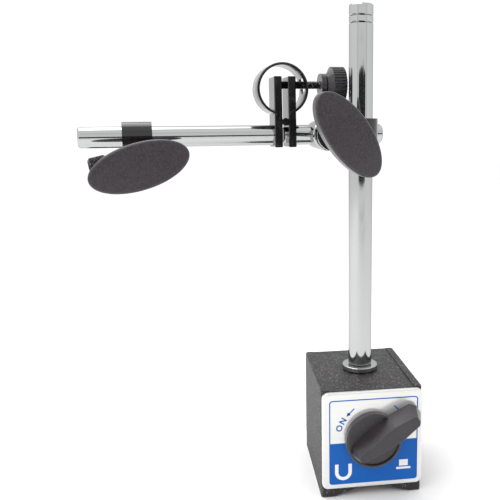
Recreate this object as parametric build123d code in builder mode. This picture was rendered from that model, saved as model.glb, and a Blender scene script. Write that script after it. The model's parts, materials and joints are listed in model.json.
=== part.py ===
"""Magnetic base stand with a post, a swivelling arm, a fine adjuster and a stem holder.

Units are millimetres.  The origin is on the table, under the post's axis: +X is right,
+Y is towards the back of the base and +Z is up.  The base is drawn in this frame, and
everything on the post is drawn in the arm's own frame, which is turned about the post.
"""

from build123d import *
import os
from math import cos, radians, sin

# ------------------------------------------------------------------ driving dimensions

# fits
RUN = 0.05  # radial clearance of a shaft that turns or slides in a hole
FACE = 0.05  # gap between two flat faces that turn on each other
FREE = 0.4  # gap between pieces that never touch

# base block
BASE_W = 50.0
BASE_D = 60.0
BASE_H = 55.0
RAIL_W = 4.0  # the two raised rails along the top
RAIL_RISE = 0.5
CORNER_R = 1.6
SOLE_W = 5.0  # each flat sole
GROOVE_RISE = 4.3  # height of the sloped sides of the groove under the base
SPACER_W = 13.2  # the non-magnetic strip between the two poles
SPACER_RECESS = 9.5  # how far the lower strip sits above the soles

# magnet rotor, in a bore from front to back
ROTOR_Z = 30.5
BORE_R = 17.0
ROTOR_CAP = 3.5
ROTOR_END = 0.5  # the rotor's gap to each end of the base
SHOE_GAP = 0.5
MAGNET_T = 12.0
MAGNET_RIM = 3.0  # from each side of the magnet to the bore
MAGNET_W = 2 * (BORE_R - MAGNET_RIM)
SPINDLE_R = 5.0
SPINDLE_FLAT = 1.2
STOP_PIN_R = 1.5
STOP_PIN_REACH = 2.0
NOTCH_SLACK = 8.0  # degrees of play at each end of the stop notch
SWITCH_TURN = 110.0
CAP_EDGE = 0.4

# label plate and rear cover
PLATE_W = 49.6
PLATE_H = 49.0
PLATE_BOTTOM = 5.2
PLATE_R = 3.0
LABEL_T = 2.0
LABEL_BEZEL = 0.9
COVER_T = 1.5
COVER_EDGE = 0.5
COVER_SCREW_R = 1.5
COVER_SCREW_L = 8.0
COVER_SCREW_HEAD_R = 2.8
COVER_SCREW_X = 20.5
COVER_SCREW_Z = 19.0

# switch knob
SWITCH_R = 13.7
SWITCH_T = 3.8
SWITCH_RIM = 1.3
SWITCH_DISH = 1.0
SWITCH_EDGE = 0.8
GRIP_TIP = 26.2
GRIP_SHOULDER = 12.0  # where the grip is widest, from the knob's axis
GRIP_TAIL = 12.6
GRIP_TIP_W = 9.4
GRIP_W = 13.2
GRIP_TAIL_W = 8.6
GRIP_CORNER = 2.6
GRIP_EDGE = 0.4
GRIP_H = 8.2  # how far the grip stands out of the disc
GRIP_BACK = 2.2  # how far the grip's overhanging tip stands in front of the knob's back
GRIP_ANGLE = 33.5
GRIP_DRAFT = 15.0
SWITCH_SCREW_R = 1.0

# post
POST_R = 6.0
POST_TOP = 238.4
POST_CHAMFER = 0.6
GROOVE_DEPTH = 0.3
GROOVE_DROPS = (5.4, 8.8)  # of the two rings below the post's top
STUD_R = 4.0
STUD_L = 6.6
NUT_R = 9.1
NUT_T = 2.9
NUT_CHAMFER = 0.8

# arm
ARM_Z = 176.1  # height of the post clamp's bolt
ARM_YAW = 7.0  # the arm's turn about the post
ARM_TILT = 0.35  # the rods' slope, lower at the left
ROD_R = 5.0
FINE_KNOB_R = 9.2
KNOB_PASS = 0.5  # the fine knob's gap to the post as it swings past
ROD_Y = POST_R + KNOB_PASS + FINE_KNOB_R
ROD_CHAMFER = 0.8
ROD_LEFT = -134.4
ROD_RIGHT = 16.2
SPIGOT_R = 4.0  # the short rod's riveted end, in the gap between the jaws
SPIGOT_L = 1.6

# clamp straps
POST_STRAP_H = 15.6
POST_STRAP_T = 2.4
ROD_STRAP_H = 13.8
ROD_STRAP_T = 2.2
STRAP_BEND_R = 1.5
TAIL_GAP = 2.0
POST_BOLT_OUT = 6.75  # from the strap's outside to its bolt's axis
POST_BOLT_X = -(POST_R + RUN + POST_STRAP_T + POST_BOLT_OUT)
ROD_CLAMP_X = -107.5
ROD_BOLT_OUT = 5.45
ROD_BOLT_DROP = ROD_R + RUN + ROD_STRAP_T + ROD_BOLT_OUT
BOLT_R = 3.0
BOLT_END = 0.5
BOLT_GRIP = 10.0  # how far each bolt reaches into its knob's insert
WASHER_R = 5.2
WASHER_T = 2.0
WASHER_ROUND = 0.6

# eye bolt and its collar
COLLAR_R = 8.0
COLLAR_BEVEL = 1.7
COLLAR_SADDLE = 2.7  # from the collar's end to the rod's axis
EYE_NECK_R = 5.8
EYE_NECK_START = 6.5
EYE_R = 7.3
EYE_REACH = 11.8  # behind the rod's axis
EYE_ROUND = 3.0

# oval knobs
OVAL_L = 45.6
OVAL_W = 20.9
OVAL_T = 9.4
OVAL_EDGE = 1.2  # round the face
OVAL_ROUND = 2.8  # round the back
OVAL_CROWN_R = 190.0
OVAL_FRONT = 31.0  # the knob's face, forward of the strap's middle
HUB_R = 6.0
HUB_ROOT_R = 7.4
INSERT_R = 4.4
INSERT_L = 11.0
POST_KNOB_ANGLE = 126.0
ROD_KNOB_ANGLE = 16.0

# fine adjuster
ADJUSTER_X = -36.1
JAW_T = 3.9
JAW_GAP = 3.1
JAW_D = 14.0
JAW_BOTTOM = -6.0
JAW_TOP = 28.6
JAW_EDGE = 0.4
PIVOT_R = 1.9
PIVOT_RISE = 1.5  # of the pin's axis above the rods
PIVOT_Z = ROD_R + PIVOT_RISE
BAND_R = 12.8
BAND_T = 1.2
BAND_Z = 22.5
BAND_SHIFT = 1.0  # the band's centre, left of the jaws' middle
BAND_HOOK = 3.4  # half the opening between the band's hooked ends
BAND_HOLE_R = 4.5
BAND_GAP = 0.15
FINE_R = 2.0
FINE_Z = 24.7
FINE_TIP_GAP = 0.1
FINE_TIP_ROUND = 1.4
FINE_HUB_X = -16.7
FINE_HUB_R = 5.8
FINE_HUB_T = 2.4
FINE_NECK_R = 4.8
FINE_CONE_R = 8.0
FINE_CONE_T = 3.2
FINE_KNOB_T = 6.6
FINE_FLUTES = 36
FINE_FLUTE_R = 0.45

# stem holder
HOLDER_TILT = 13.0
HOLDER_SIDE = 13.0
HOLDER_RIGHT = 7.0
HOLDER_LEFT = -13.9
HOLDER_ROUND = 1.2
STEM_X = -8.0
STEM_R = 4.05
STEM_SCREW_R = 2.5
STEM_HEAD_R = 7.8
HEAD_PASS = 0.35  # the screw head's gap to the strap as the holder turns
HOLDER_Y = ROD_R + RUN + ROD_STRAP_T + HEAD_PASS + STEM_HEAD_R  # behind the rod's axis
STEM_HEAD_L = 9.0
STEM_HEAD_EDGE = 0.6
BOLT_HEAD_R = 5.5
BOLT_HEAD_T = 3.2
BOLT_HEAD_ROUND = 1.8

# ------------------------------------------------------------------ frames

base = Plane.XY
arm = Plane(
    origin=(0, 0, ARM_Z),
    x_dir=(cos(radians(ARM_YAW)), sin(radians(ARM_YAW)), 0),
    z_dir=(0, 0, 1),
)


def turned(frame, x, y, z, angle):
    """A frame with its origin at a point of another, turned so that its right end rises."""
    c, s = cos(radians(angle)), sin(radians(angle))
    origin = frame.from_local_coords(Vector(x, y, z))
    return Plane(
        origin,
        x_dir=frame.x_dir * c + frame.z_dir * s,
        z_dir=frame.z_dir * c - frame.x_dir * s,
    )


# the rods' frame: its x is still measured from the post, along the rods
bolt_frame = turned(arm, POST_BOLT_X, 0, 0, ARM_TILT)
swing = turned(bolt_frame, -POST_BOLT_X, 0, 0, 0)


def level(frame, x=0.0, y=0.0, z=0.0):
    """The sketch plane at a point of a frame that faces up."""
    origin = frame.from_local_coords(Vector(x, y, z))
    return Plane(origin, x_dir=frame.x_dir, z_dir=frame.z_dir)


def front(frame, x=0.0, y=0.0, z=0.0):
    """The sketch plane at a point of a frame that faces the front, with x right and y up."""
    origin = frame.from_local_coords(Vector(x, y, z))
    return Plane(origin, x_dir=frame.x_dir, z_dir=-frame.y_dir)


def side(frame, x=0.0, y=0.0, z=0.0):
    """The sketch plane at a point of a frame that faces right, with x to the back and y up."""
    origin = frame.from_local_coords(Vector(x, y, z))
    return Plane(origin, x_dir=frame.y_dir, z_dir=frame.x_dir)


def save(piece, name):
    """Label a finished piece and write it."""
    piece.part.label = name
    export_step(piece.part, f"parts/{name}.step")


os.makedirs("parts", exist_ok=True)

# ------------------------------------------------------------------ base block

FRONT_Y = -BASE_D / 2
BACK_Y = BASE_D / 2
DECK_Z = BASE_H - RAIL_RISE  # the top between the rails
HALF_SPACER = SPACER_W / 2
COVER_CENTRE = PLATE_BOTTOM + PLATE_H / 2
SCREW_PLACES = [
    (x, COVER_CENTRE + z)
    for x in (-COVER_SCREW_X, COVER_SCREW_X)
    for z in (-COVER_SCREW_Z, COVER_SCREW_Z)
]
STOP_Y = FRONT_Y + ROTOR_END + ROTOR_CAP / 2
NUT_TOP = DECK_Z + NUT_T

for name, sign in (("left_pole", -1), ("right_pole", 1)):
    with BuildPart() as pole:
        with BuildSketch(front(base, y=BACK_Y)):
            with BuildLine():
                Polyline(
                    (sign * HALF_SPACER, GROOVE_RISE),
                    (sign * (BASE_W / 2 - SOLE_W), 0),
                    (sign * BASE_W / 2, 0),
                    (sign * BASE_W / 2, BASE_H),
                    (sign * (BASE_W / 2 - RAIL_W), BASE_H),
                    (sign * (BASE_W / 2 - RAIL_W), DECK_Z),
                    (sign * HALF_SPACER, DECK_Z),
                    close=True,
                )
            make_face()
            with Locations((0, ROTOR_Z)):
                Circle(BORE_R, mode=Mode.SUBTRACT)
        extrude(amount=BASE_D)
        uprights = pole.edges().filter_by(Axis.Z).group_by(Axis.X)
        fillet(uprights[-1 if sign > 0 else 0], CORNER_R)
        rail = pole.faces().filter_by(Axis.Z).sort_by(Axis.Z)[-1]
        rail_edges = rail.edges().sort_by(Axis.X)
        fillet(rail_edges[1:] if sign > 0 else rail_edges[:-1], CORNER_R / 2)
        with BuildSketch(front(base, y=BACK_Y)):
            with Locations(*SCREW_PLACES):
                Circle(COVER_SCREW_R)
        extrude(amount=COVER_SCREW_L, mode=Mode.SUBTRACT)
        if sign < 0:
            with BuildSketch(side(base, x=-BASE_W / 2, y=STOP_Y, z=ROTOR_Z)):
                Circle(STOP_PIN_R)
            extrude(amount=BASE_W / 2 - BORE_R + STOP_PIN_REACH, mode=Mode.SUBTRACT)
    save(pole, name)

with BuildPart() as top_spacer:
    with BuildSketch(front(base, y=BACK_Y)):
        with Locations((0, (ROTOR_Z + DECK_Z) / 2)):
            Rectangle(SPACER_W, DECK_Z - ROTOR_Z)
        with Locations((0, ROTOR_Z)):
            Circle(BORE_R, mode=Mode.SUBTRACT)
    extrude(amount=BASE_D)
    with BuildSketch(level(base, z=DECK_Z)):
        Circle(STUD_R + RUN)
    extrude(amount=-(BASE_H - ROTOR_Z - BORE_R), mode=Mode.SUBTRACT)
save(top_spacer, "top_spacer")

with BuildPart() as bottom_spacer:
    with BuildSketch(front(base, y=BACK_Y)):
        with Locations((0, (SPACER_RECESS + ROTOR_Z) / 2)):
            Rectangle(SPACER_W, ROTOR_Z - SPACER_RECESS)
        with Locations((0, ROTOR_Z)):
            Circle(BORE_R, mode=Mode.SUBTRACT)
    extrude(amount=BASE_D)
save(bottom_spacer, "bottom_spacer")

with BuildPart() as stop_pin:
    with BuildSketch(side(base, x=-BASE_W / 2, y=STOP_Y, z=ROTOR_Z)):
        Circle(STOP_PIN_R)
    extrude(amount=BASE_W / 2 - BORE_R + STOP_PIN_REACH)
save(stop_pin, "stop_pin")

with BuildPart() as label_plate:
    with BuildSketch(front(base, y=FRONT_Y, z=COVER_CENTRE)):
        RectangleRounded(PLATE_W, PLATE_H, PLATE_R)
        with Locations((0, ROTOR_Z - COVER_CENTRE)):
            Circle(SPINDLE_R + FREE, mode=Mode.SUBTRACT)
    extrude(amount=LABEL_T)
    face = label_plate.faces().sort_by(Axis.Y)[0]
    fillet(face.outer_wire().edges(), LABEL_BEZEL)
save(label_plate, "label_plate")

with BuildPart() as rear_cover:
    with BuildSketch(front(base, y=BACK_Y + COVER_T, z=COVER_CENTRE)):
        RectangleRounded(PLATE_W, PLATE_H, PLATE_R)
    extrude(amount=COVER_T)
    back = rear_cover.faces().sort_by(Axis.Y)[-1]
    fillet(back.outer_wire().edges(), COVER_EDGE)
    for x, z in SCREW_PLACES:
        with BuildSketch(front(base, x=x, y=BACK_Y + COVER_T, z=z)):
            Circle(COVER_SCREW_HEAD_R)
        extrude(amount=COVER_T, taper=45, mode=Mode.SUBTRACT)
        with BuildSketch(front(base, x=x, y=BACK_Y + COVER_T, z=z)):
            Circle(COVER_SCREW_R)
        extrude(amount=COVER_T, mode=Mode.SUBTRACT)
save(rear_cover, "rear_cover")

with BuildPart() as rear_cover_screws:
    for x, z in SCREW_PLACES:
        with BuildSketch(front(base, x=x, y=BACK_Y + COVER_T, z=z)):
            Circle(COVER_SCREW_HEAD_R)
        extrude(amount=COVER_SCREW_HEAD_R - COVER_SCREW_R, taper=45)
        with BuildSketch(front(base, x=x, y=BACK_Y + COVER_T, z=z)):
            Circle(COVER_SCREW_R)
        extrude(amount=COVER_T + COVER_SCREW_L)
        with BuildSketch(front(base, x=x, y=BACK_Y + COVER_T, z=z)):
            Rectangle(COVER_SCREW_HEAD_R * 1.5, COVER_SCREW_R / 3)
            Rectangle(COVER_SCREW_R / 3, COVER_SCREW_HEAD_R * 1.5)
        extrude(amount=COVER_T / 2, mode=Mode.SUBTRACT)
save(rear_cover_screws, "rear_cover_screws")

# ------------------------------------------------------------------ magnet rotor

ROTOR_FRONT = FRONT_Y + ROTOR_END + ROTOR_CAP
ROTOR_BACK = BACK_Y - ROTOR_END - ROTOR_CAP
ROTOR_L = ROTOR_BACK - ROTOR_FRONT
CAP_R = BORE_R - RUN
NOTCH_START = 180 - SWITCH_TURN - NOTCH_SLACK
NOTCH_SWEEP = SWITCH_TURN + 2 * NOTCH_SLACK
SWITCH_BACK = FRONT_Y - LABEL_T - FREE  # the knob's back face
SPINDLE_END = SWITCH_BACK - SWITCH_T + SWITCH_DISH
GRUB_Y = (SWITCH_BACK + SPINDLE_END) / 2

with BuildPart() as rotor_magnet:
    with BuildSketch(front(base, y=ROTOR_BACK, z=ROTOR_Z)):
        Rectangle(MAGNET_W, MAGNET_T)
    extrude(amount=ROTOR_L)
save(rotor_magnet, "rotor_magnet")

with BuildPart() as rotor_shoes:
    with BuildSketch(front(base, y=ROTOR_BACK, z=ROTOR_Z)):
        Circle(BORE_R - SHOE_GAP)
        Rectangle(BASE_W, MAGNET_T, mode=Mode.SUBTRACT)
    extrude(amount=ROTOR_L)
save(rotor_shoes, "rotor_shoes")

with BuildPart() as rotor_front_cap:
    with BuildSketch(front(base, y=ROTOR_FRONT, z=ROTOR_Z)):
        Circle(CAP_R)
    extrude(amount=ROTOR_CAP)
    with BuildSketch(front(base, y=ROTOR_FRONT, z=ROTOR_Z)):
        Circle(SPINDLE_R)
        with Locations((0, -SPINDLE_R)):
            Rectangle(SPINDLE_R * 2, SPINDLE_FLAT * 2, mode=Mode.SUBTRACT)
    extrude(amount=ROTOR_FRONT - SPINDLE_END)
    # the notch in the rim that runs against the stop pin
    with BuildSketch(front(base, y=ROTOR_FRONT, z=ROTOR_Z)):
        with BuildLine():
            rim = CenterArc((0, 0), BORE_R, NOTCH_START, NOTCH_SWEEP)
            floor = CenterArc((0, 0), BORE_R - STOP_PIN_REACH - FREE, NOTCH_START, NOTCH_SWEEP)
            Line(rim @ 0, floor @ 0)
            Line(rim @ 1, floor @ 1)
        make_face()
    extrude(amount=ROTOR_CAP, mode=Mode.SUBTRACT)
save(rotor_front_cap, "rotor_front_cap")

with BuildPart() as rotor_rear_cap:
    with BuildSketch(front(base, y=ROTOR_BACK + ROTOR_CAP, z=ROTOR_Z)):
        Circle(CAP_R)
    extrude(amount=ROTOR_CAP)
    chamfer(rotor_rear_cap.faces().sort_by(Axis.Y)[-1].edges(), CAP_EDGE)
save(rotor_rear_cap, "rotor_rear_cap")

# ------------------------------------------------------------------ switch knob

grip_frame = Plane(
    origin=(0, 0, ROTOR_Z),
    x_dir=(cos(radians(GRIP_ANGLE)), 0, sin(radians(GRIP_ANGLE))),
    z_dir=(-sin(radians(GRIP_ANGLE)), 0, cos(radians(GRIP_ANGLE))),
)

with BuildPart() as switch_knob:
    with BuildSketch(front(grip_frame, y=SWITCH_BACK)):
        Circle(SWITCH_R)
    extrude(amount=SWITCH_T)
    rim_edge = switch_knob.faces().sort_by(Axis.Y)[0].edges()
    fillet(rim_edge, SWITCH_EDGE)
    with BuildSketch(front(grip_frame, y=SWITCH_BACK - SWITCH_T)):
        Circle(SWITCH_R - SWITCH_RIM)
    extrude(amount=-SWITCH_DISH, mode=Mode.SUBTRACT)
    # the grip: a drafted bar across the disc, widest where it leaves the disc to point
    with BuildSketch(front(grip_frame, y=SWITCH_BACK - GRIP_BACK)):
        with BuildLine():
            Polyline(
                (-GRIP_TAIL, GRIP_TAIL_W / 2),
                (GRIP_SHOULDER, GRIP_W / 2),
                (GRIP_TIP, GRIP_TIP_W / 2),
                (GRIP_TIP, -GRIP_TIP_W / 2),
                (GRIP_SHOULDER, -GRIP_W / 2),
                (-GRIP_TAIL, -GRIP_TAIL_W / 2),
                close=True,
            )
        make_face()
        ends = vertices().group_by(Axis.X)
        chamfer(ends[0] + ends[-1], GRIP_CORNER)
    extrude(amount=SWITCH_T + GRIP_H - GRIP_BACK, taper=GRIP_DRAFT)
    fillet(switch_knob.faces().sort_by(Axis.Y)[0].edges(), GRIP_EDGE)
    # bore for the spindle
    with BuildSketch(front(base, y=SWITCH_BACK, z=ROTOR_Z)):
        Circle(SPINDLE_R)
        with Locations((0, -SPINDLE_R)):
            Rectangle(SPINDLE_R * 2, SPINDLE_FLAT * 2, mode=Mode.SUBTRACT)
    extrude(amount=SWITCH_BACK - SPINDLE_END, mode=Mode.SUBTRACT)
    # hole for the grub screw, up through the rim onto the spindle's flat
    with BuildSketch(level(base, y=GRUB_Y, z=ROTOR_Z - SWITCH_R - 1)):
        Circle(SWITCH_SCREW_R)
    extrude(amount=SWITCH_R + 1 - SPINDLE_R + SPINDLE_FLAT, mode=Mode.SUBTRACT)
save(switch_knob, "switch_knob")

with BuildPart() as switch_screw:
    with BuildSketch(level(base, y=GRUB_Y, z=ROTOR_Z - SPINDLE_R + SPINDLE_FLAT)):
        Circle(SWITCH_SCREW_R)
    extrude(amount=-(SWITCH_R - SPINDLE_R))
    with BuildSketch(level(base, y=GRUB_Y, z=ROTOR_Z - SWITCH_R + SPINDLE_FLAT)):
        RegularPolygon(SWITCH_SCREW_R / 2, 6)
    extrude(amount=SWITCH_SCREW_R, mode=Mode.SUBTRACT)
save(switch_screw, "switch_screw")

# ------------------------------------------------------------------ post and its nut

with BuildPart() as post_nut:
    with BuildSketch(level(base, z=DECK_Z)):
        Circle(NUT_R)
        Circle(STUD_R + RUN, mode=Mode.SUBTRACT)
    extrude(amount=NUT_T)
    outer = post_nut.edges().filter_by(GeomType.CIRCLE).group_by(SortBy.RADIUS)[-1]
    chamfer(outer.sort_by(Axis.Z)[0], NUT_CHAMFER)
    fillet(outer.sort_by(Axis.Z)[-1], NUT_CHAMFER / 2)
save(post_nut, "post_nut")

POST_BOTTOM = NUT_TOP + FACE
with BuildPart() as post:
    with BuildSketch(Plane.XZ):
        with BuildLine():
            Polyline(
                (0, DECK_Z - STUD_L),
                (STUD_R, DECK_Z - STUD_L),
                (STUD_R, POST_BOTTOM),
                (POST_R - POST_CHAMFER, POST_BOTTOM),
                (POST_R, POST_BOTTOM + POST_CHAMFER),
                (POST_R, POST_TOP - POST_CHAMFER),
                (POST_R - POST_CHAMFER, POST_TOP),
                (0, POST_TOP),
                close=True,
            )
        make_face()
        for drop in GROOVE_DROPS:
            with Locations((POST_R, POST_TOP - drop)):
                Rectangle(GROOVE_DEPTH * 2, GROOVE_DEPTH * 2, rotation=45, mode=Mode.SUBTRACT)
    revolve(axis=Axis.Z)
save(post, "post")

# ------------------------------------------------------------------ straps


def make_strap(plane, bore_r, thick, height, bolt):
    """A strap round a shaft that is normal to the plane, with two tails for its bolt."""
    reach = bolt + height / 2
    tail_out = TAIL_GAP / 2 + thick
    bolt_place = plane.from_local_coords(Vector(-bolt, 0, 0))
    with BuildPart() as strap:
        with BuildSketch(plane.offset(-height / 2)):
            Circle(bore_r + thick)
            with Locations((-reach / 2, 0)):
                Rectangle(reach, 2 * tail_out)
            Circle(bore_r, mode=Mode.SUBTRACT)
            with Locations((-reach / 2, 0)):
                Rectangle(reach + thick, TAIL_GAP, mode=Mode.SUBTRACT)
        extrude(amount=height)
        along = strap.edges().filter_by(Axis(plane.origin, plane.z_dir))
        bends = along.filter_by(
            lambda e: -bore_r - thick < plane.to_local_coords(e.center()).X < 0
            and abs(abs(plane.to_local_coords(e.center()).Y) - tail_out) < 0.01
        )
        fillet(bends, STRAP_BEND_R)
        corners = strap.edges().filter_by(Axis(plane.origin, plane.y_dir)).filter_by(
            lambda e: plane.to_local_coords(e.center()).X < 0.01 - reach
        )
        fillet(corners, height / 2 - 0.05)
        with BuildSketch(Plane(bolt_place, z_dir=plane.y_dir)):
            Circle(BOLT_R + RUN)
        extrude(amount=bore_r + thick, both=True, mode=Mode.SUBTRACT)
    return strap


POST_TAIL = TAIL_GAP / 2 + POST_STRAP_T
post_strap = make_strap(level(arm), POST_R + RUN, POST_STRAP_T, POST_STRAP_H, -POST_BOLT_X)
save(post_strap, "post_strap")

# ------------------------------------------------------------------ oval knobs


def make_washer(frame, x, y_back, z):
    """A plain washer in front of a strap."""
    with BuildPart() as washer:
        with BuildSketch(front(frame, x=x, y=y_back, z=z)):
            Circle(WASHER_R)
            Circle(BOLT_R + RUN, mode=Mode.SUBTRACT)
        extrude(amount=WASHER_T)
        fillet(washer.faces().sort_by(Axis.Y)[0].outer_wire().edges(), WASHER_ROUND)
    return washer


def make_oval_knob(frame, x, y_back, y_front, z, angle):
    """An oval clamping knob: a crowned plate on a tapered hub, bored for its brass insert."""
    plate_back = y_front + OVAL_T
    with BuildPart() as knob:
        with BuildSketch(front(frame, x=x, y=plate_back, z=z)):
            Ellipse(OVAL_L / 2, OVAL_W / 2, rotation=angle)
        extrude(amount=OVAL_T)
        crown = frame.from_local_coords(Vector(x, y_front + OVAL_CROWN_R, z))
        add(Pos(crown) * Sphere(OVAL_CROWN_R, mode=Mode.PRIVATE), mode=Mode.INTERSECT)
        faces = knob.faces().sort_by(Axis(frame.origin, frame.y_dir))
        fillet(faces[0].edges(), OVAL_EDGE)
        fillet(faces[-1].edges(), OVAL_ROUND)
        with BuildSketch(front(frame, x=x, y=y_back, z=z)):
            Circle(HUB_R)
        with BuildSketch(front(frame, x=x, y=plate_back - OVAL_ROUND, z=z)):
            Circle(HUB_ROOT_R)
        loft()
        with BuildSketch(front(frame, x=x, y=y_back, z=z)):
            Circle(INSERT_R)
        extrude(amount=INSERT_L, mode=Mode.SUBTRACT)
    return knob


def make_insert(frame, x, y_back, z):
    """The threaded brass insert inside a knob's hub."""
    with BuildPart() as insert:
        with BuildSketch(front(frame, x=x, y=y_back, z=z)):
            Circle(INSERT_R)
            Circle(BOLT_R + RUN, mode=Mode.SUBTRACT)
        extrude(amount=INSERT_L)
    return insert


POST_WASHER_BACK = -POST_TAIL
POST_HUB_BACK = POST_WASHER_BACK - WASHER_T - FACE
post_washer = make_washer(arm, POST_BOLT_X, POST_WASHER_BACK, 0)
save(post_washer, "post_washer")
post_knob = make_oval_knob(arm, POST_BOLT_X, POST_HUB_BACK, -OVAL_FRONT, 0, POST_KNOB_ANGLE)
save(post_knob, "post_knob")
post_knob_insert = make_insert(arm, POST_BOLT_X, POST_HUB_BACK, 0)
save(post_knob_insert, "post_knob_insert")

# ------------------------------------------------------------------ eye bolt and collar

COLLAR_END = ROD_Y - COLLAR_SADDLE
EYE_END = ROD_Y + EYE_REACH

with BuildPart() as saddle_collar:
    with BuildSketch(front(swing, x=POST_BOLT_X, y=COLLAR_END)):
        Circle(COLLAR_R)
    extrude(amount=COLLAR_END - POST_TAIL - FACE)
    chamfer(saddle_collar.faces().sort_by(Axis(swing.origin, swing.y_dir))[0].edges(), COLLAR_BEVEL)
    with BuildSketch(front(swing, x=POST_BOLT_X, y=COLLAR_END)):
        Circle(EYE_NECK_R + RUN)
    extrude(amount=COLLAR_END - EYE_NECK_START + RUN, mode=Mode.SUBTRACT)
    with BuildSketch(front(swing, x=POST_BOLT_X, y=COLLAR_END)):
        Circle(BOLT_R + RUN)
    extrude(amount=COLLAR_END, mode=Mode.SUBTRACT)
    with BuildSketch(side(swing, x=POST_BOLT_X, y=ROD_Y)):
        Circle(ROD_R + RUN)
    extrude(amount=2 * COLLAR_R, both=True, mode=Mode.SUBTRACT)
save(saddle_collar, "saddle_collar")

EYE_BOLT_TIP = POST_HUB_BACK - BOLT_GRIP
with BuildPart() as eye_bolt:
    with BuildSketch(front(swing, x=POST_BOLT_X, y=EYE_END)):
        Circle(EYE_R)
    extrude(amount=EYE_END - COLLAR_END - FREE)
    fillet(eye_bolt.faces().sort_by(Axis(swing.origin, swing.y_dir))[-1].edges(), EYE_ROUND)
    with BuildSketch(front(swing, x=POST_BOLT_X, y=ROD_Y)):
        Circle(EYE_NECK_R)
    extrude(amount=ROD_Y - EYE_NECK_START)
    with BuildSketch(front(swing, x=POST_BOLT_X, y=EYE_NECK_START)):
        Circle(BOLT_R)
    extrude(amount=EYE_NECK_START - EYE_BOLT_TIP)
    chamfer(eye_bolt.faces().sort_by(Axis(swing.origin, swing.y_dir))[0].edges(), BOLT_END)
    with BuildSketch(side(swing, x=POST_BOLT_X, y=ROD_Y)):
        Circle(ROD_R + RUN)
    extrude(amount=2 * EYE_R, both=True, mode=Mode.SUBTRACT)
save(eye_bolt, "eye_bolt")

# ------------------------------------------------------------------ fine adjuster

LEFT_JAW_X = ADJUSTER_X - JAW_GAP / 2 - JAW_T  # outer faces of the two jaws
RIGHT_JAW_X = ADJUSTER_X + JAW_GAP / 2 + JAW_T
JAW_MID_Z = (JAW_BOTTOM + JAW_TOP) / 2
JAW_FRONT = ROD_Y - JAW_D / 2
JAW_BACK = ROD_Y + JAW_D / 2
BAND_X = ADJUSTER_X - BAND_SHIFT


def make_jaw(x_left, rod_hole_r, pivot_r, screw_hole_r, band_gap):
    """One upright jaw of the fine adjuster, bored for its rod and notched for the band."""
    with BuildPart() as jaw:
        with BuildSketch(front(swing, y=JAW_BACK, z=JAW_MID_Z)):
            with Locations((x_left + JAW_T / 2, 0)):
                Rectangle(JAW_T, JAW_TOP - JAW_BOTTOM)
        extrude(amount=JAW_D)
        chamfer(jaw.edges(), JAW_EDGE)
        with BuildSketch(side(swing, x=x_left, y=ROD_Y)):
            Circle(rod_hole_r)
        extrude(amount=JAW_T, mode=Mode.SUBTRACT)
        with BuildSketch(front(swing, x=ADJUSTER_X, y=JAW_BACK, z=PIVOT_Z)):
            Circle(pivot_r)
        extrude(amount=JAW_D, mode=Mode.SUBTRACT)
        if screw_hole_r:
            with BuildSketch(side(swing, x=x_left, y=ROD_Y, z=FINE_Z)):
                Circle(screw_hole_r)
            extrude(amount=JAW_T, mode=Mode.SUBTRACT)
        with BuildSketch(front(swing, x=BAND_X, y=JAW_BACK, z=BAND_Z)):
            Circle(BAND_R + band_gap)
            Circle(BAND_R - BAND_T - band_gap, mode=Mode.SUBTRACT)
            with Locations((0, -BAND_R)):
                Rectangle(2 * (BAND_HOOK - band_gap), 2 * BAND_R, mode=Mode.SUBTRACT)
        extrude(amount=JAW_D, mode=Mode.SUBTRACT)
    return jaw


fine_jaw = make_jaw(LEFT_JAW_X, ROD_R + RUN, PIVOT_R + RUN, 0, BAND_GAP)
save(fine_jaw, "fine_jaw")
fixed_jaw = make_jaw(RIGHT_JAW_X - JAW_T, ROD_R + RUN, PIVOT_R, FINE_R + RUN, 0)
save(fixed_jaw, "fixed_jaw")

with BuildPart() as pivot_pin:
    with BuildSketch(front(swing, x=ADJUSTER_X, y=JAW_BACK, z=PIVOT_Z)):
        Circle(PIVOT_R)
    extrude(amount=JAW_D)
save(pivot_pin, "pivot_pin")

with BuildPart() as spring_band:
    with BuildSketch(front(swing, x=BAND_X, y=JAW_BACK, z=BAND_Z)):
        Circle(BAND_R)
        Circle(BAND_R - BAND_T, mode=Mode.SUBTRACT)
        with Locations((0, -BAND_R)):
            Rectangle(2 * BAND_HOOK, 2 * BAND_R, mode=Mode.SUBTRACT)
    extrude(amount=JAW_D)
    with BuildSketch(side(swing, x=BAND_X, y=ROD_Y, z=FINE_Z)):
        Circle(BAND_HOLE_R)
    extrude(amount=2 * BAND_R, mode=Mode.SUBTRACT)
save(spring_band, "spring_band")

FINE_TIP_X = ADJUSTER_X - JAW_GAP / 2 + FINE_TIP_GAP
FINE_BORE_END = FINE_HUB_X + FINE_HUB_T + FINE_CONE_T
with BuildPart() as fine_screw:
    with BuildSketch(side(swing, x=FINE_TIP_X, y=ROD_Y, z=FINE_Z)):
        Circle(FINE_R)
    extrude(amount=FINE_BORE_END - FINE_TIP_X - FREE)
    fillet(fine_screw.faces().sort_by(Axis(swing.origin, swing.x_dir))[0].edges(), FINE_TIP_ROUND)
save(fine_screw, "fine_screw")

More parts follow.
